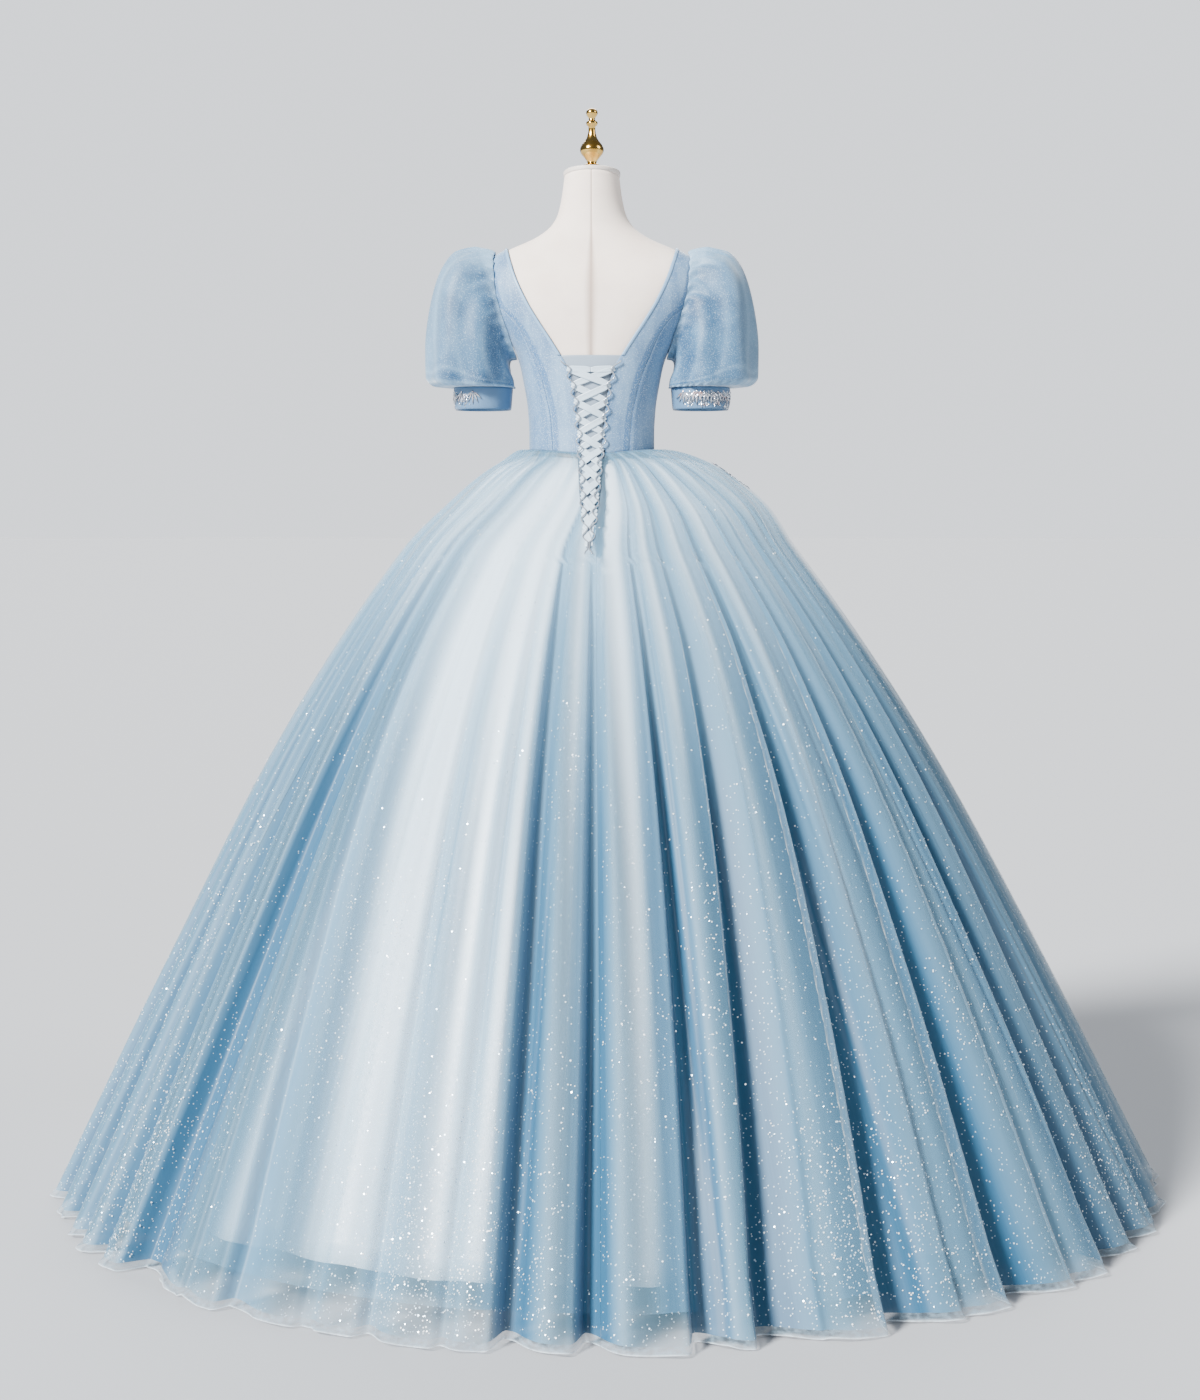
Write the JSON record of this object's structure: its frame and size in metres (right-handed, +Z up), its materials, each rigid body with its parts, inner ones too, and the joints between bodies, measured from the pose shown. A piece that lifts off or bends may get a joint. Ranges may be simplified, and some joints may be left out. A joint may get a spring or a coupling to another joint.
{
  "type": "ball gown on dress form",
  "caption": "Pale blue tulle ball gown on a limbless dress form, seen laced up the centre back, with puff sleeves, leaf applique cuffs and a very full skirt.",
  "frame": {"origin": "centre of the stand's base on the floor", "axes": "Z up; the gown faces -Y, its laced back faces +Y; the wearer's left is +X"},
  "size_m": [2.0271, 2.0297, 1.9664],
  "materials": {
    "form_linen": "woven off-white cover of the dress form",
    "cap_wood": "painted neck cap, satin",
    "finial_brass": "polished turned finial",
    "stand_iron": "dark satin paint",
    "bodice_satin": "pale blue satin under organza, soft sheen",
    "edge_binding": "narrow satin binding",
    "skirt_tulle": "sheer pale blue glitter tulle",
    "hem_net": "crinkled whitish net edge",
    "lining_satin": "pale satin lining, soft sheen",
    "ribbon": "ice blue satin ribbon and panel",
    "loop_cord": "silvery white cord",
    "cuff_satin": "plain blue satin",
    "leaf_crystal": "silver and blush faceted leaf appliques"
  },
  "bodies": {
    "root": {"dress_form": "form_linen", "neck_cap": "cap_wood", "finial": "finial_brass", "stand_pole": "stand_iron", "stand_base": "stand_iron", "bodice_back_left": "bodice_satin", "bodice_back_right": "bodice_satin", "bodice_side_back_left": "bodice_satin", "bodice_side_back_right": "bodice_satin", "bodice_front_left": "bodice_satin", "bodice_front_right": "bodice_satin", "bodice_side_front_left": "bodice_satin", "bodice_side_front_right": "bodice_satin", "sleeve_left": "bodice_satin", "sleeve_right": "bodice_satin", "neck_binding_back_left": "edge_binding", "neck_binding_back_right": "edge_binding", "neck_binding_front_left": "edge_binding", "neck_binding_front_right": "edge_binding", "skirt_tulle_1": "skirt_tulle", "skirt_tulle_2": "skirt_tulle", "skirt_tulle_3": "skirt_tulle", "skirt_tulle_4": "skirt_tulle", "skirt_tulle_5": "skirt_tulle", "skirt_tulle_6": "skirt_tulle", "hem_net_1": "hem_net", "hem_net_2": "hem_net", "hem_net_3": "hem_net", "hem_net_4": "hem_net", "hem_net_5": "hem_net", "hem_net_6": "hem_net", "skirt_lining_1": "lining_satin", "skirt_lining_2": "lining_satin", "skirt_lining_3": "lining_satin", "skirt_lining_4": "lining_satin", "lacing_ribbon": "ribbon", "modesty_panel": "ribbon", "loop_cord_left": "loop_cord", "loop_cord_right": "loop_cord", "cuff_left": "cuff_satin", "cuff_right": "cuff_satin", "cuff_spray_left": "leaf_crystal", "cuff_spray_right": "leaf_crystal", "waist_spray": "leaf_crystal"}
  },
  "joints": []
}
